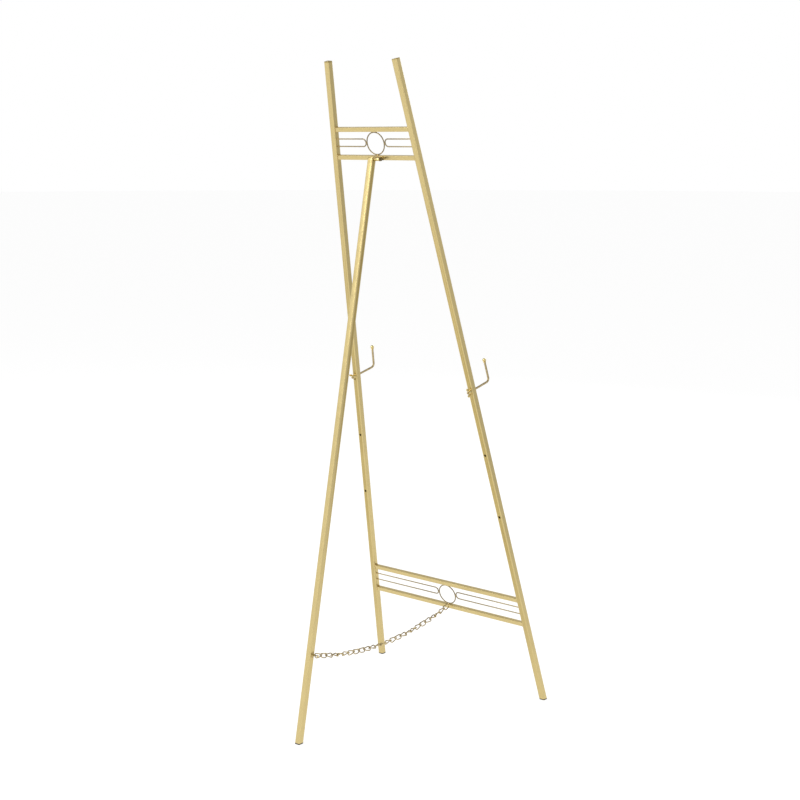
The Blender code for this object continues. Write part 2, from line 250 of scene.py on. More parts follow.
def add_bump(nodes, links, shader, height, strength, distance, after=None):
    """Adds fine relief, on top of an earlier bump if there is one."""
    bump = nodes.new("ShaderNodeBump")
    bump.inputs["Strength"].default_value = strength
    bump.inputs["Distance"].default_value = distance
    links.new(height, bump.inputs["Height"])
    if after:
        links.new(after.outputs["Normal"], bump.inputs["Normal"])
    links.new(bump.outputs["Normal"], shader.inputs["Normal"])
    return bump


def edges(nodes, links, start, end):
    """Edges or hollows, from the mesh's own pointiness between start and end."""
    geometry = nodes.new("ShaderNodeNewGeometry")
    return spread(nodes, links, geometry.outputs["Pointiness"], 0.0, 1.0, start, end)


def gold_paint(name, deep, light):
    """Satin metallic gold powder coat: fine orange peel, faint clouding, rubbed edges."""
    material, nodes, links, shader = shader_tree(name, light, 0.36, 0.93)
    clouds = spread(nodes, links, noise_at(nodes, links, 9.0, 4.0), 0.0, 1.0)
    colour = blend_colours(nodes, links, clouds, deep, light)
    flakes = spread(nodes, links, noise_at(nodes, links, 2600.0, 2.0), 0.0, 0.25, 0.55, 0.75)
    colour = blend_colours(nodes, links, flakes, colour, (0.68, 0.54, 0.24))
    rubbed = edges(nodes, links, 0.54, 0.68)
    colour = blend_colours(nodes, links, rubbed, colour, (0.80, 0.66, 0.34))
    links.new(colour, shader.inputs["Base Color"])
    gloss = spread(nodes, links, noise_at(nodes, links, 60.0, 5.0), 0.31, 0.41)
    links.new(gloss, shader.inputs["Roughness"])
    peel = add_bump(nodes, links, shader, noise_at(nodes, links, 750.0, 2.0), 0.22, 0.0002)
    add_bump(nodes, links, shader, noise_at(nodes, links, 2200.0, 2.0), 0.12, 0.0001, peel)
    shader.inputs["Coat Weight"].default_value = 0.16
    shader.inputs["Coat Roughness"].default_value = 0.28
    return material


def weld_paint():
    """Painted weld: the same coat, glossier, browned by heat over a rippled bead."""
    material, nodes, links, shader = shader_tree("weld_paint", (0.62, 0.47, 0.18), 0.26, 0.95)
    tint = spread(nodes, links, noise_at(nodes, links, 400.0, 4.0), 0.0, 1.0)
    colour = blend_colours(nodes, links, tint, (0.40, 0.26, 0.10), (0.72, 0.56, 0.27))
    links.new(colour, shader.inputs["Base Color"])
    add_bump(nodes, links, shader, noise_at(nodes, links, 900.0, 3.0), 0.35, 0.0003)
    return material


def brass(name, roughness, bright, dull, hollow, along=(1, 1, 1)):
    """Brass plate: fine scratches, tarnish in patches and darker hollows."""
    material, nodes, links, shader = shader_tree(name, bright, roughness, 1.0)
    patches = spread(nodes, links, noise_at(nodes, links, 140.0, 5.0), 0.0, 0.85, 0.45, 0.7)
    colour = blend_colours(nodes, links, patches, bright, dull)
    hollows = edges(nodes, links, 0.50, 0.42)
    colour = blend_colours(nodes, links, hollows, colour, hollow)
    links.new(colour, shader.inputs["Base Color"])
    scratches = noise_at(nodes, links, 900.0, 6.0, along)
    links.new(spread(nodes, links, scratches, roughness * 0.7, roughness * 1.7),
              shader.inputs["Roughness"])
    add_bump(nodes, links, shader, scratches, 0.10, 0.0001)
    return material


def black_plastic():
    """Moulded plastic: near black, fine moulded grain, dusty at the floor."""
    material, nodes, links, shader = shader_tree("black_plastic", (0.007, 0.007, 0.008), 0.5, 0.0)
    dust = spread(nodes, links, noise_at(nodes, links, 220.0, 5.0), 0.0, 0.30, 0.5, 0.8)
    links.new(blend_colours(nodes, links, dust, (0.006, 0.006, 0.007), (0.035, 0.032, 0.028)),
              shader.inputs["Base Color"])
    links.new(spread(nodes, links, noise_at(nodes, links, 500.0), 0.42, 0.62),
              shader.inputs["Roughness"])
    add_bump(nodes, links, shader, noise_at(nodes, links, 1600.0, 2.0), 0.3, 0.0001)
    return material


PAINT = gold_paint("gold_paint", deep=(0.350, 0.252, 0.062), light=(0.410, 0.306, 0.086))
# The same coat on the thin wires, duller and greyer, as it lies over drawn wire
WIRE_PAINT = gold_paint("wire_paint", deep=(0.22, 0.175, 0.095), light=(0.34, 0.275, 0.155))
WELD = weld_paint()
POLISHED = brass("polished_brass", 0.20, bright=(0.74, 0.60, 0.28), dull=(0.46, 0.34, 0.12),
                 hollow=(0.12, 0.08, 0.02))
DRAWN = brass("drawn_brass", 0.27, bright=(0.50, 0.40, 0.22), dull=(0.34, 0.26, 0.13),
              hollow=(0.12, 0.09, 0.04), along=(1, 1, 6))
CHAIN_BRASS = brass("chain_brass", 0.14, bright=(0.46, 0.36, 0.17), dull=(0.13, 0.095, 0.04),
                    hollow=(0.04, 0.03, 0.012))
# Brass painted darker as painted shade: the hinge's bolt and nut lie in shadow, and this darker copy of the brass
# stands in for that shade
SHADED_BRASS = brass("shaded_brass", 0.30, bright=(0.20, 0.15, 0.06), dull=(0.10, 0.07, 0.03),
                   hollow=(0.03, 0.02, 0.01))
PLASTIC = black_plastic()


# ---------------------------------------------------------------- mesh building

def add_piece(name, mesh, material, body, nodes=(), origin=None, sharp=SHARP_EDGE):
    """Turns a bmesh into a piece that rides on a body and stands for some CAD nodes."""
    bmesh.ops.recalc_face_normals(mesh, faces=mesh.faces)
    if origin is None:
        points = [v.co for v in mesh.verts]
        origin = sum(points, Vector()) / len(points)
    bmesh.ops.translate(mesh, verts=mesh.verts, vec=-origin)
    data = bpy.data.meshes.new(name)
    mesh.to_mesh(data)
    mesh.free()
    data.shade_smooth()
    data.set_sharp_from_angle(angle=sharp)
    data.materials.append(material)
    piece = bpy.data.objects.new(name, data)
    piece.location = origin
    bpy.context.collection.objects.link(piece)
    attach(piece, body)
    if nodes:
        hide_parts(*nodes)
    return piece


def skin(mesh, loops, closed=False):
    """Skins loops of equal length into a mesh, joined end to start or capped at both ends."""
    rings = [[mesh.verts.new(p) for p in loop] for loop in loops]
    pairs = list(zip(rings, rings[1:]))
    if closed:
        pairs.append((rings[-1], rings[0]))
    else:
        mesh.faces.new(rings[0])
        mesh.faces.new(rings[-1])
    for low, high in pairs:
        count = len(low)
        for k in range(count):
            n = (k + 1) % count
            mesh.faces.new((low[k], low[n], high[n], high[k]))
    return mesh


def circle(centre, side, other, radius, count, start=0.0):
    """Points round a circle in the plane of two directions."""
    turn = 2 * math.pi / count
    return [centre + (side * math.cos(start + k * turn) + other * math.sin(start + k * turn)) * radius
            for k in range(count)]


def arc(centre, first, second, radius, start, end, steps):
    """Points along an arc that turns from the first direction towards the second."""
    span = end - start
    return [centre + (first * math.cos(start + span * k / steps)
                      + second * math.sin(start + span * k / steps)) * radius
            for k in range(steps + 1)]


def wire_loops(path, radii, sides, closed=False):
    """Circles along a flat path, one radius for each of its points."""
    normal = Vector()
    for a, b, c in zip(path, path[1:], path[2:]):
        normal += (b - a).cross(c - b)
    if normal.length < STRAIGHT:
        normal = (path[1] - path[0]).orthogonal()
    normal.normalize()
    count = len(path)
    loops = []
    for k, radius in enumerate(radii):
        before = path[k - 1] if closed or k else path[k]
        after = path[(k + 1) % count] if closed or k < count - 1 else path[k]
        run = (after - before).normalized()
        loops.append(circle(path[k], normal, run.cross(normal), radius, sides))
    return loops


def square_outline(size, corner, steps=6):
    """A square with round corners, about its own centre."""
    inner = size / 2 - corner
    points = []
    for quarter in range(4):
        middle = math.radians(45 + 90 * quarter)
        cx = math.copysign(inner, math.cos(middle))
        cy = math.copysign(inner, math.sin(middle))
        for k in range(steps + 1):
            angle = math.radians(90 * quarter + 90 * k / steps)
            points.append((cx + corner * math.cos(angle), cy + corner * math.sin(angle)))
    return points


def cut_at(outline, centre, run, side, point, normal):
    """Where an outline swept along run meets a plane."""
    other = run.cross(side).normalized()
    loop = []
    for aside, ahead in outline:
        start = centre + side * aside + other * ahead
        loop.append(start + run * ((point - start).dot(normal) / run.dot(normal)))
    return loop


def turned(name, profile, centre, axis, material, body, nodes=(), count=32, closed=True):
    """A turned piece from pairs of radius and distance along its axis."""
    side = axis.orthogonal().normalized()
    other = axis.cross(side)
    loops = [circle(centre + axis * along, side, other, r, count) for r, along in profile]
    mesh = skin(bmesh.new(), loops, closed=closed)
    return add_piece(name, mesh, material, body, nodes, origin=centre)


# ---------------------------------------------------------------- measures of the CAD nodes

def points_of(node):
    """The node's distinct corners, in world coordinates."""
    mesh = frame["nodes"][node].data
    flat = np.empty(len(mesh.vertices) * 3)
    mesh.vertices.foreach_get("co", flat)
    return np.unique(np.round(flat.reshape(-1, 3), 7), axis=0)


def ends_of(node, guess):
    """Centres of a straight tube's two end faces, found along a rough direction."""
    points = points_of(node)
    along = points @ np.array(guess)
    low = points[along < along.min() + END_ZONE]
    high = points[along > along.max() - END_ZONE]
    return [Vector((p.min(axis=0) + p.max(axis=0)) / 2) for p in (low, high)]


def box_centre(node, x):
    """Centre of a node's box, seen from the side, at a given place across."""
    low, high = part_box(node)
    return Vector((x, (low[1] + high[1]) / 2, (low[2] + high[2]) / 2))


def sides_of(node):
    """Where a node's left and right sides lie across the easel, as its front faces -Y."""
    low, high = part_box(node)
    return high[0], low[0]


def axes_of(node):
    """Centre and longest and second directions of a symmetric piece."""
    points = points_of(node)
    centre = points.mean(axis=0)
    directions = np.linalg.svd(points - centre, full_matrices=False)[2]
    return Vector(centre), Vector(directions[0]), Vector(directions[1])


# ---------------------------------------------------------------- tubes, caps and glides

def apply_modifiers(piece):
    """Replaces a piece's mesh by what its modifiers make of it."""
    bpy.context.view_layer.update()
    graph = bpy.context.evaluated_depsgraph_get()
    result = bpy.data.meshes.new_from_object(piece.evaluated_get(graph))
    piece.modifiers.clear()
    piece.data = result
    piece.data.shade_smooth()


def drill(piece, centre, axis, radius, depth):
    """Cuts a round hole that reaches as far as depth both ways from its centre."""
    side = axis.orthogonal().normalized()
    other = axis.cross(side)
    cutter_mesh = skin(bmesh.new(), [circle(centre + axis * d, side, other, radius, 32)
                                     for d in (-depth, depth)])
    bmesh.ops.recalc_face_normals(cutter_mesh, faces=cutter_mesh.faces)
    data = bpy.data.meshes.new("cutter")
    cutter_mesh.to_mesh(data)
    cutter_mesh.free()
    cutter = bpy.data.objects.new("cutter", data)
    bpy.context.collection.objects.link(cutter)
    change = piece.modifiers.new("hole", "BOOLEAN")
    change.operation = "DIFFERENCE"
    change.object = cutter
    apply_modifiers(piece)
    piece.data.set_sharp_from_angle(angle=SHARP_EDGE)
    bpy.data.objects.remove(cutter, do_unlink=True)


def tube_piece(node, size, corner, start, end, side, start_normal, end_normal):
    """A hollow square tube with round corners, cut off by a plane at each end."""
    run = (end - start).normalized()
    outer = square_outline(size, corner)
    inner = square_outline(size - 2 * WALL, corner - WALL * 0.6)
    loops = [cut_at(outer, start, run, side, start, start_normal),
             cut_at(outer, start, run, side, end, end_normal),
             cut_at(inner, start, run, side, end, end_normal),
             cut_at(inner, start, run, side, start, start_normal)]
    mesh = skin(bmesh.new(), loops, closed=True)
    return add_piece("fine_" + node, mesh, PAINT, BODY_OF[node], [node], origin=start)


def cap_piece(node, levels, normal, centre, run, side, material):
    """A cap or glide, from levels of outline size, corner radius and distance along run."""
    loops = []
    for size, corner, along in levels:
        point = centre + run * along
        loops.append(cut_at(square_outline(size, corner), centre, run, side, point, normal))
    mesh = skin(bmesh.new(), loops)
    return add_piece("fine_" + node, mesh, material, BODY_OF[node], [node], origin=centre)


def glide(node, foot, run, side):
    """Plastic foot: an eased lower edge, a level flange and a plug inside the tube."""
    levels = [
        (LEG - 2 * FLANGE_EASE, LEG_CORNER - FLANGE_EASE * 0.5, 0.0),
        (LEG - 0.4 * FLANGE_EASE, LEG_CORNER, FLANGE_EASE * 0.6),
        (LEG, LEG_CORNER, FLANGE_EASE * 1.4),
        (LEG, LEG_CORNER, FLANGE_T),
        (PLUG, PLUG_CORNER, FLANGE_T),
        (PLUG, PLUG_CORNER, FLANGE_T + PLUG_LENGTH),
    ]
    sloped = [(size, corner, height / run.z) for size, corner, height in levels]
    cap_piece(node, sloped, FLOOR_UP, foot, run, side, PLASTIC)


def top_cap(node, end, run, side, plugged=True):
    """Painted cap over a tube's upper end, with a plug where nothing else fills the tube."""
    levels = [
        (LEG - 2.4 * CAP_EASE, LEG_CORNER - CAP_EASE, 0.0),
        (LEG - 0.8 * CAP_EASE, LEG_CORNER, -CAP_EASE * 0.35),
        (LEG, LEG_CORNER, -CAP_EASE),
        (LEG, LEG_CORNER, -CAP_T),
    ]
    if plugged:
        levels += [(PLUG, PLUG_CORNER, -CAP_T), (PLUG, PLUG_CORNER, -CAP_T - PLUG_LENGTH)]
    cap_piece(node, levels, run, end + run * (CAP_T + GAP), run, side, PAINT)


def front_legs():
    """Both front legs, their caps and glides. Returns each leg's foot point and direction."""
    lines = {}
    for label in SIDES:
        node = "front_leg_" + label
        low, high = ends_of(node, UP)
        run = (high - low).normalized()
        leg = tube_piece(node, LEG, LEG_CORNER, low, high, BACK, FLOOR_UP, run)
        foot = low - run * (low.z / run.z)
        lines[label] = (foot, run)
        hook = Vector(JOINTS["hook_%s_swivel" % label]["pos_m"])
        drill(leg, hook, BACK, HOLE_R, LEG)
        for height in SPARE_HOLES:
            drill(leg, foot + run * (height / run.z), BACK, HOLE_R, LEG)
        glide("front_foot_" + label, foot, run, BACK)
        top_cap("top_cap_" + label, high, run, BACK)
    return lines


def rear_leg():
    """The rear leg, bored for the hinge bolt, with its cap and glide."""
    low, high = ends_of("rear_leg", FLOOR_UP)
    pivot = Vector(JOINTS["rear_leg_fold"]["pos_m"])
    run = (high - low).normalized()
    leg = tube_piece("rear_leg", LEG, LEG_CORNER, low, high, ACROSS, FLOOR_UP, run)
    drill(leg, pivot, ACROSS, BOLT_R + GAP, LEG)
    glide("rear_foot", low - run * (low.z / run.z), run, ACROSS)
    top_cap("rear_leg_cap", high, run, ACROSS, plugged=False)


# ---------------------------------------------------------------- crossbars

def weld(name, path, radius, closed=True):
    """A rippled weld bead along a path, painted over."""
    radii = [radius * (1 + 0.22 * math.sin(k * 2.1) + 0.30 * noise.noise(point * 420))
             for k, point in enumerate(path)]
    mesh = skin(bmesh.new(), wire_loops(path, radii, 10, closed), closed=closed)
    return add_piece(name, mesh, WELD, "front_frame", sharp=WELD_EDGE)


def tack(name, centre, size):
    """A small tack weld: an uneven ellipsoid, from its half-axes across, up and back."""
    mesh = bmesh.new()
    bmesh.ops.create_uvsphere(mesh, u_segments=18, v_segments=12, radius=1.0)
    for vertex in mesh.verts:
        unit = vertex.co.copy()
        swell = 1 + 0.16 * noise.noise((unit * 0.004 + centre) * 500)
        reach = ACROSS * size[0] * unit.x + UP * size[1] * unit.y + BACK * size[2] * unit.z
        vertex.co = centre + reach * swell
    return add_piece(name, mesh, WELD, "front_frame", origin=centre, sharp=WELD_EDGE)


def inner_normal(run, side):
    """Normal of a front leg's inner face, which points to the other leg."""
    normal = run.cross(BACK).normalized()
    if normal.x * side > 0:
        normal.negate()
    return normal


def rail_piece(bar, level, lines):
    """A rail between the legs' inner faces, with its welds. Returns its middle."""
    node = "%s_rail_%s" % (bar, level)
    normals = {label: inner_normal(lines[label][1], side) for label, side in SIDES.items()}
    middle = box_centre(node, 0)
    faces = {}
    for label in SIDES:
        foot = lines[label][0] + normals[label] * (LEG / 2 + GAP)
        faces[label] = middle + ACROSS * ((foot - middle).dot(normals[label]) / normals[label].x)
    tube_piece(node, RAIL, RAIL_CORNER, faces["right"], faces["left"], BACK,
               normals["right"], normals["left"])
    for label in SIDES:
        seat = faces[label] - normals[label] * GAP
        outline = cut_at(square_outline(RAIL + BEAD_STAND, RAIL_CORNER, 4), seat, ACROSS, BACK,
                         seat, normals[label])
        weld("weld_%s_%s" % (node, label), densify(outline, BEAD_STEP), BEAD_R)
    return middle


def densify(loop, step):
    """Adds points along a closed loop's long sides."""
    result = []
    for a, b in zip(loop, loop[1:] + loop[:1]):
        parts = max(1, round((b - a).length / step))
        result += [a.lerp(b, k / parts) for k in range(parts)]
    return result


def crossbar(bar, lines):
    """Rails, ring and hairpins of one crossbar, with their welds."""
    low = rail_piece(bar, "bottom", lines)
    high = rail_piece(bar, "top", lines)
    centre = (low + high) / 2
    ring_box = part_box(bar + "_ring")
    centre.x = (ring_box[0][0] + ring_box[1][0]) / 2
    ring_r = (high - low).length / 2 - RAIL / 2 - GAP - WIRE_R
    ring = arc(centre, ACROSS, UP, ring_r, 0, 2 * math.pi, 96)[:-1]
    loops = wire_loops(ring, [WIRE_R] * len(ring), 16, closed=True)
    mesh = skin(bmesh.new(), loops, closed=True)
    add_piece("fine_%s_ring" % bar, mesh, WIRE_PAINT, "front_frame", [bar + "_ring"], origin=centre)
    for level, way in (("top", 1), ("bottom", -1)):
        touch = centre + UP * (way * (ring_r + WIRE_R * 0.8))
        tack("tack_%s_ring_%s" % (bar, level), touch, RING_TACK)
    for label, side in SIDES.items():
        hairpin(bar, label, side, centre, ring_r, lines)


def hairpin(bar, label, side, centre, ring_r, lines):
    """A wire from the leg to the ring and back, with its tacks."""
    node = "%s_wire_%s" % (bar, label)
    box_low, box_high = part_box(node)
    lift = ((box_low[2] + box_high[2]) / 2 - centre.z) / UP.z
    middle = centre + UP * lift
    tip = ring_r + WIRE_R + GAP + WIRE_R
    bend = middle + ACROSS * (side * (tip + HAIRPIN_HALF))
    foot, run = lines[label]
    normal = inner_normal(run, side)
    face = foot + normal * (LEG / 2 + GAP * 0.5)
    ends = []
    for level, way in (("top", 1), ("bottom", -1)):
        start = middle + UP * (way * HAIRPIN_HALF)
        end = start + ACROSS * ((face - start).dot(normal) / normal.x)
        tack("tack_%s_%s" % (node, level), end - ACROSS * (side * GAP), WIRE_TACK)
        ends.append(end)
    path = [ends[0]] + arc(bend, UP, ACROSS * -side, HAIRPIN_HALF, 0, math.pi, 24) + [ends[1]]
    mesh = skin(bmesh.new(), wire_loops(path, [WIRE_R] * len(path), 16))
    add_piece("fine_" + node, mesh, WIRE_PAINT, "front_frame", [node])
    touch = centre + ACROSS * (side * (ring_r + WIRE_R)) + UP * lift * 0.6
    tack("tack_%s_ring" % node, touch, SIDE_TACK)


# ---------------------------------------------------------------- hooks

def threaded(start, run, side, length):
    """Loops of a rod with a V thread that fades out at the far end."""
    other = run.cross(side)
    loops = []
    count = round(length / THREAD_PITCH * THREAD_SAMPLES)
    for k in range(count + 1):
        along = length * k / count
        fade = min(1, (length - along) / THREAD_FADE)
        loop = []
        for j in range(ROD_SIDES):
            turn = j / ROD_SIDES
            phase = (along / THREAD_PITCH + turn) % 1.0
            radius = ROD_R - THREAD_DEPTH * (1 - abs(2 * phase - 1)) * fade
            angle = 2 * math.pi * turn
            loop.append(start + run * along
                        + (side * math.cos(angle) + other * math.sin(angle)) * radius)
        loops.append(loop)
    return loops


def hook(label, run):
    """Threaded rod through the leg, bent up along it into a plain stem that ends in a ball."""
    body = label + "_hook"
    centre = Vector(JOINTS["hook_%s_swivel" % label]["pos_m"])
    ball = centre - BACK * HOOK_REACH + run * HOOK_RISE
    mesh = skin(bmesh.new(), rod_loops(centre, run, ball))
    add_piece("fine_hook_" + label, mesh, DRAWN, body, ["hook_" + label], origin=centre,
              sharp=THREAD_EDGE)
    neck = ROD_R * 1.25
    profile = [(neck, -BALL_R * 1.28), (neck * 1.08, -BALL_R * 1.1), (neck * 1.1, -BALL_R * 0.94)]
    profile += [(BALL_R * math.sin(a), -BALL_R * math.cos(a))
                for a in (math.radians(40 + 138 * k / 20) for k in range(21))]
    turned("fine_hook_ball_" + label, profile, ball, run, POLISHED, body,
           ["hook_ball_" + label], closed=False)
    washer("hook_washer_" + label, centre, BACK, LEG / 2 + GAP, WASHER_T, WASHER_R, body)
    wing_nut(label, centre)


def rod_loops(centre, run, ball):
    """Loops of the hook's rod: eased tail, thread, bend and stem up into the ball."""
    tail = centre + BACK * HOOK_TAIL
    bend_start = centre - BACK * (HOOK_REACH - HOOK_BEND)
    side = (-BACK).orthogonal().normalized()
    loops = threaded(tail, -BACK, side, HOOK_TAIL + HOOK_REACH - HOOK_BEND)
    stem = arc(bend_start + run * HOOK_BEND, -run, -BACK, HOOK_BEND, 0, math.pi / 2, 16)[1:]
    stem += [stem[-1].lerp(ball, t) for t in (0.3, 0.6, 0.9)]
    stem.append(ball - run * (BALL_R * 0.9))
    normal = (-BACK).cross(run).normalized()
    start = math.atan2(side.dot((-BACK).cross(normal)), side.dot(normal))
    for before, point, after in zip([bend_start] + stem, stem, stem[1:] + [stem[-1] + run]):
        along = (after - before).normalized()
        loops.append(circle(point, normal, along.cross(normal), ROD_R, ROD_SIDES, start))
    eased = [tail + (p - tail) * 0.72 + BACK * TAIL_EASE for p in loops[0]]
    return [eased] + loops


def washer(node, centre, axis, seat, thick, radius, body):
    """A stamped washer with eased edges, its underside at seat along the axis."""
    ease = WASHER_EASE
    bore = ROD_R + GAP
    profile = [
        (bore, seat + ease),
        (bore + ease, seat),
        (radius - ease, seat),
        (radius, seat + ease),
        (radius, seat + thick - ease * 2),
        (radius - ease * 2, seat + thick),
        (bore + ease, seat + thick),
        (bore, seat + thick - ease),
    ]
    turned("fine_" + node, profile, centre, axis, POLISHED, body, [node], count=40)


def wing_nut(label, centre):
    """Cast wing nut: a tapered hub and two rounded wings, melted together by a fine remesh."""
    node = "wing_nut_" + label
    seat = centre + BACK * (LEG / 2 + 2 * GAP + WASHER_T)
    bore = ROD_R + GAP
    side = BACK.orthogonal().normalized()
    other = BACK.cross(side)
    hub = [
        (bore, 0),
        (NUT_R - 0.0003, 0),
        (NUT_R, 0.0004),
        (NUT_R * 0.98, 0.0020),
        (NUT_R * 0.80, NUT_HEIGHT - 0.0006),
        (NUT_R * 0.74, NUT_HEIGHT),
        (bore, NUT_HEIGHT),
    ]
    loops = [circle(seat + BACK * height, side, other, radius, 40) for radius, height in hub]
    mesh = skin(bmesh.new(), loops, closed=True)
    span = wing_direction(node, centre)
    for out in (span, -span):
        skin(mesh, wing_loops(seat, out, BACK.cross(span).normalized(), bore))
    nut = add_piece("fine_" + node, mesh, POLISHED, label + "_wing_nut", [node], origin=centre)
    melt(nut, MELT_VOXEL)


def wing_loops(seat, out, thick, bore):
    """One wing: a root inside the hub and a round tip, eased on both faces."""
    root = seat + out * (bore + WING_ROOT_IN)
    tip = seat + out * (WING_SPAN - WING_TIP_IN) + BACK * WING_RISE
    outline = [root + BACK * WING_ROOT, root + BACK * WING_LOW,
               seat + out * (NUT_R + WING_SHOULDER) + BACK * WING_LOW]
    outline += arc(tip, out, BACK, WING_TIP_R, math.radians(-50), math.radians(125), 14)
    middle = sum(outline, Vector()) / len(outline)
    return [[middle + (p - middle) * shrink + thick * (WING_T / 2 * across) for p in outline]
            for across, shrink in ((-1, 0.90), (-0.72, 1.0), (0.72, 1.0), (1, 0.90))]


def wing_direction(node, centre):
    """The way the CAD nut's wings point, square to the rod: the mean of their far points."""
    flats = []
    for point in points_of(node):
        offset = Vector(point) - centre
        flats.append(offset - BACK * offset.dot(BACK))
    farthest = max(flats, key=lambda flat: flat.length)
    total = Vector()
    for flat in flats:
        if flat.length > NUT_R * 1.6:
            total += flat if flat.dot(farthest) > 0 else -flat
    return total.normalized()


def melt(piece, voxel):
    """Joins overlapping shells into one skin and softens it."""
    remesh = piece.modifiers.new("remesh", "REMESH")
    remesh.mode = "VOXEL"
    remesh.voxel_size = voxel
    remesh.use_smooth_shade = True
    soften = piece.modifiers.new("soften", "SMOOTH")
    soften.factor = 0.6
    soften.iterations = 5
    apply_modifiers(piece)


# ---------------------------------------------------------------- hinge

def hinge():
    """Knuckle, bolt, washer and nut at the rear leg's top. The middle is on the hinge's axis."""
    pivot = Vector(JOINTS["rear_leg_fold"]["pos_m"])
    middle = Vector((0, pivot.y, pivot.z))
    knuckle(pivot, middle)
    hinge_bolt(pivot.x + LEG / 2 + GAP, middle)
    left, right = sides_of("hinge_washer")
    washer("hinge_washer", middle, ACROSS, right, left - right, HINGE_WASHER_R, "front_frame")
    hexagon_nut(middle)


def hinge_bolt(head, middle):
    """Domed head against the leg, plain shank and threaded end."""
    end = sides_of("hinge_bolt")[1]
    tip = end + BOLT_TIP
    thread = [(BOLT_R - THREAD_DEPTH * (k % 2), tip + k * THREAD_PITCH / 2)
              for k in range(1, BOLT_THREADS)]
    profile = [(BOLT_R * 0.7, end), (BOLT_R, tip)] + thread
    profile += [(BOLT_R, thread[-1][1] + BOLT_RIM), (BOLT_R, head)]
    profile += [(BOLT_HEAD_R, head), (BOLT_HEAD_R, head + BOLT_RIM)]
    profile += [(BOLT_HEAD_R * math.cos(a), head + BOLT_RIM + BOLT_HEAD_T * math.sin(a))
                for a in (math.radians(12 * k) for k in range(1, 8))]
    # The bolt takes the darker brass, which is painted shade
    turned("fine_hinge_bolt", profile, middle, ACROSS, SHADED_BRASS, "front_frame",
           ["hinge_bolt"], closed=False, count=24)


def knuckle(pivot, middle):
    """A rolled plate: a barrel round the bolt with a short foot welded to the rail."""
    left, right = sides_of("hinge_bracket")
    face = (middle - box_centre("upper_rail_bottom", 0)).dot(BACK) - RAIL / 2 - GAP
    outline = arc(Vector(), BACK, UP, KNUCKLE_R, math.radians(-100), math.radians(100), 28)
    outline += [UP * PLATE_HALF - BACK * face, UP * -PLATE_HALF - BACK * face]
    inside = sum(outline, Vector()) / len(outline)
    loops = []
    for x, shrink in ((left, 0.92), (left - KNUCKLE_EASE, 1.0), (right + KNUCKLE_EASE, 1.0),
                      (right, 0.92)):
        centre = middle + ACROSS * x + inside
        loops.append([centre + (p - inside) * shrink for p in outline])
    mesh = skin(bmesh.new(), loops)
    piece = add_piece("fine_hinge_bracket", mesh, POLISHED, "front_frame", ["hinge_bracket"],
                      origin=pivot)
    drill(piece, pivot, ACROSS, BOLT_R + GAP, THROUGH)
    for label, height in (("top", PLATE_HALF), ("bottom", -PLATE_HALF)):
        base = middle + UP * height - BACK * (face + GAP * 0.5)
        start = base + ACROSS * (right + HINGE_BEAD_R)
        end = base + ACROSS * (left - HINGE_BEAD_R)
        path = [start.lerp(end, k / 12) for k in range(13)]
        weld("weld_hinge_" + label, path, HINGE_BEAD_R, closed=False)


def hexagon_nut(middle):
    """Plain nut on the bolt's end, with eased faces."""
    left, right = sides_of("hinge_nut")
    small = HINGE_NUT_R - NUT_EASE
    levels = [(left, small), (left - NUT_EASE, HINGE_NUT_R), (right + NUT_EASE, HINGE_NUT_R),
              (right, small)]
    loops = [circle(middle + ACROSS * x, UP, BACK, radius, 6) for x, radius in levels]
    # The nut takes the darker brass, which is painted shade
    nut = add_piece("fine_hinge_nut", skin(bmesh.new(), loops), SHADED_BRASS, "front_frame",
                    ["hinge_nut"], origin=middle + ACROSS * left)
    drill(nut, middle, ACROSS, BOLT_R + GAP * 0.3, THROUGH)


# ---------------------------------------------------------------- chain

def chain_link(node):
    """Curb link: an oval of round wire, its ends turned against each other, with a weld seam."""
    centre, run, side = axes_of(node)
    oval = []
    for way in (1, -1):
        bend = Vector((way * (LINK_HALF_LENGTH - LINK_HALF_WIDTH), 0, 0))
        oval += arc(bend, Vector((0, way, 0)), Vector((way, 0, 0)), LINK_HALF_WIDTH, 0, math.pi, 18)
    path = []
    for point in oval:
        turn = LINK_CURL * point.x / LINK_HALF_LENGTH
        path.append(centre + run * point.x + Matrix.Rotation(turn, 3, run) @ side * point.y)
    count = len(path)
    loops = []
    for k, point in enumerate(path):
        along = (path[(k + 1) % count] - path[k - 1]).normalized()
        out = (point - centre) - along * (point - centre).dot(along)
        out.normalize()
        seam = 1 + 0.10 * math.exp(-((k - count + 0.5) / 0.9) ** 2)
        loops.append(circle(point, out, along.cross(out), LINK_WIRE_R * seam, 12))
    mesh = skin(bmesh.new(), loops, closed=True)
    add_piece("fine_" + node, mesh, CHAIN_BRASS, BODY_OF[node], [node], origin=centre)


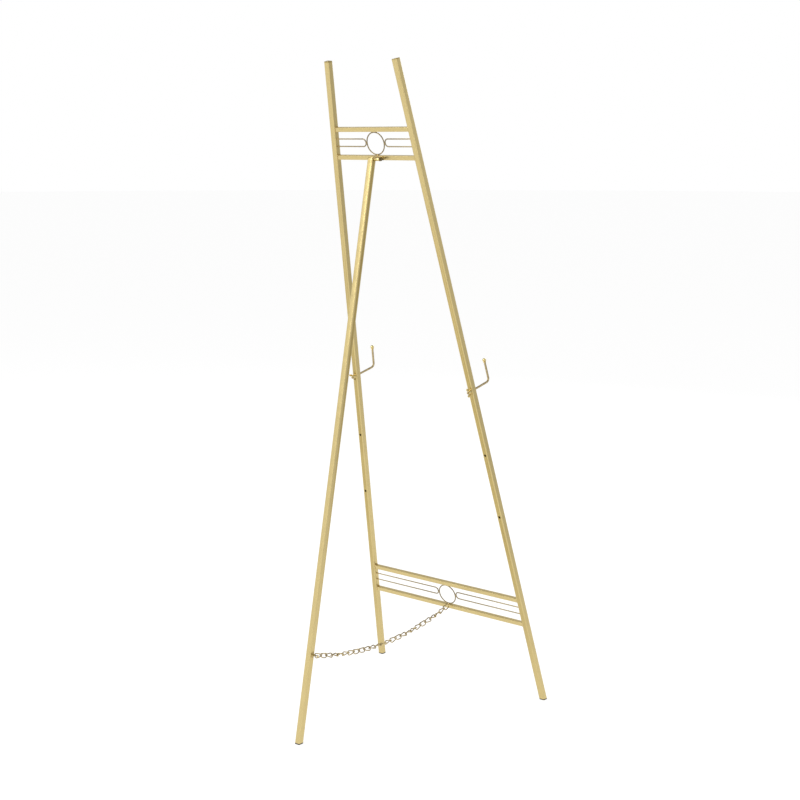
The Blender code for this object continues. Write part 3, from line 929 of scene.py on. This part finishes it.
def staple():
    """The chain's staple, sloped up from the lowest rail, with its two tack welds."""
    bar = Vector(JOINTS["chain_1_bend"]["pos_m"])
    points = [Vector(p) for p in points_of("rail_chain_eye")]
    nearest = min(p.dot(BACK) for p in points)
    feet = [p for p in points if p.dot(BACK) < nearest + STAPLE_FOOT_ZONE]
    foot = sum(feet, Vector()) / len(feet)
    slope = Vector((0, bar.y - foot.y, bar.z - foot.z)).normalized()
    rail = box_centre("lower_rail_bottom", bar.x)
    reach = ((bar - rail).dot(BACK) - RAIL / 2) / slope.dot(BACK)
    seat = bar - slope * (reach - GAP)
    path = [seat + ACROSS * STAPLE_HALF]
    for way in (1, -1):
        bend = bar + ACROSS * (way * (STAPLE_HALF - STAPLE_CORNER)) - slope * STAPLE_CORNER
        bow = arc(bend, ACROSS * way, slope, STAPLE_CORNER, 0, math.pi / 2, 8)
        path += bow if way == 1 else bow[::-1]
    path.append(seat - ACROSS * STAPLE_HALF)
    mesh = skin(bmesh.new(), wire_loops(path, [LINK_WIRE_R] * len(path), 14))
    add_piece("fine_rail_chain_eye", mesh, POLISHED, "front_frame", ["rail_chain_eye"], origin=bar)
    for label, way in SIDES.items():
        end = seat + ACROSS * (way * STAPLE_HALF) - slope * GAP
        tack("tack_staple_" + label, end, STAPLE_TACK)


def leg_pin():
    """Round-headed pin that the chain's last link hangs on."""
    inside, outside = sides_of("leg_chain_eye")
    centre = box_centre("leg_chain_eye", 0)
    rim = PIN_HEAD_R - 0.0002
    dome = outside + PIN_HEAD_T
    profile = [
        (rim, inside),
        (PIN_HEAD_R, inside - 0.0003),
        (PIN_HEAD_R, inside - 0.0008),
        (LINK_WIRE_R, inside - 0.0009),
        (LINK_WIRE_R, dome + 0.0007),
        (rim, dome + 0.0006),
        (PIN_HEAD_R, dome),
    ]
    profile += [(PIN_HEAD_R * math.cos(a), dome - PIN_HEAD_T * math.sin(a))
                for a in (math.radians(17 * k) for k in range(1, 6))]
    turned("fine_leg_chain_eye", profile, centre, ACROSS, POLISHED, BODY_OF["leg_chain_eye"],
           ["leg_chain_eye"], closed=False, count=24)


def chain():
    """All the links, with what holds the chain at each end."""
    for node in sorted(frame["nodes"]):
        if node.startswith("chain_link_"):
            chain_link(node)
    staple()
    leg_pin()


# ---------------------------------------------------------------- stage, light and camera

def stage():
    """A pale floor that glows, less to one side, for shape in the metal."""
    mesh = bmesh.new()
    bmesh.ops.create_circle(mesh, cap_ends=True, segments=96, radius=FLOOR_R)
    data = bpy.data.meshes.new("floor")
    mesh.to_mesh(data)
    mesh.free()
    floor = bpy.data.objects.new("floor", data)
    bpy.context.collection.objects.link(floor)
    material, nodes, links, shader = shader_tree("floor_white", FLOOR_GREY, 0.9, 0.0)
    shader.inputs["Specular IOR Level"].default_value = 0.0
    shader.inputs["Emission Color"].default_value = (1, 1, 1, 1)
    place = nodes.new("ShaderNodeTexCoord")
    away = distance_along(nodes, links, place.outputs["Object"], FLOOR_DARK_WAY)
    links.new(spread(nodes, links, away, *FLOOR_GLOW, *FLOOR_FADE),
              shader.inputs["Emission Strength"])
    data.materials.append(material)


def sky():
    """White surroundings, darker overhead and towards one side, for shape in the metal."""
    world = bpy.data.worlds.new("studio")
    bpy.context.scene.world = world
    world.use_nodes = True
    nodes, links = world.node_tree.nodes, world.node_tree.links
    way = nodes.new("ShaderNodeTexCoord").outputs["Generated"]
    height = distance_along(nodes, links, way, FLOOR_UP)
    overhead = spread(nodes, links, height, *SKY_OVERHEAD, *OVERHEAD_FADE)
    aside = distance_along(nodes, links, way, SKY_DARK_WAY)
    sideways = spread(nodes, links, aside, *SKY_SIDEWAYS, *SIDEWAYS_FADE)
    product = nodes.new("ShaderNodeMath")
    product.operation = "MULTIPLY"
    links.new(overhead, product.inputs[0])
    links.new(sideways, product.inputs[1])
    background = nodes["Background"]
    background.inputs["Color"].default_value = (1, 1, 1, 1)
    links.new(product.outputs["Value"], background.inputs["Strength"])


def aim(name, data, place, way):
    """Places a lamp or camera and points it along a direction."""
    item = bpy.data.objects.new(name, data)
    item.location = place
    item.rotation_mode = "QUATERNION"
    item.rotation_quaternion = way.to_track_quat("-Z", "Y")
    bpy.context.collection.objects.link(item)
    return item


def lights():
    """Soft round lamps, all turned to the easel's middle."""
    for name, place, size, power in LAMPS:
        light = bpy.data.lights.new(name, "AREA")
        light.shape = "DISK"
        light.size = size
        light.energy = power
        aim(name, light, place, Vector(LAMP_TARGET) - Vector(place))


def camera():
    """A camera that looks at the easel from behind."""
    data = bpy.data.cameras.new("camera")
    data.lens = CAMERA_LENS
    data.sensor_width = 36
    way = Vector((-math.sin(CAMERA_HEADING) * math.cos(CAMERA_TILT),
                  math.cos(CAMERA_HEADING) * math.cos(CAMERA_TILT),
                  -math.sin(CAMERA_TILT)))
    bpy.context.scene.camera = aim("camera", data, CAMERA_PLACE, way)


def easel():
    """All the easel's pieces. Each leg's line is its foot point and direction."""
    lines = front_legs()
    rear_leg()
    for bar in ("upper", "lower"):
        crossbar(bar, lines)
    for label in SIDES:
        hook(label, lines[label][1])
    hinge()
    chain()


easel()
stage()
sky()
lights()
camera()
bpy.context.scene.view_settings.view_transform = "Standard"
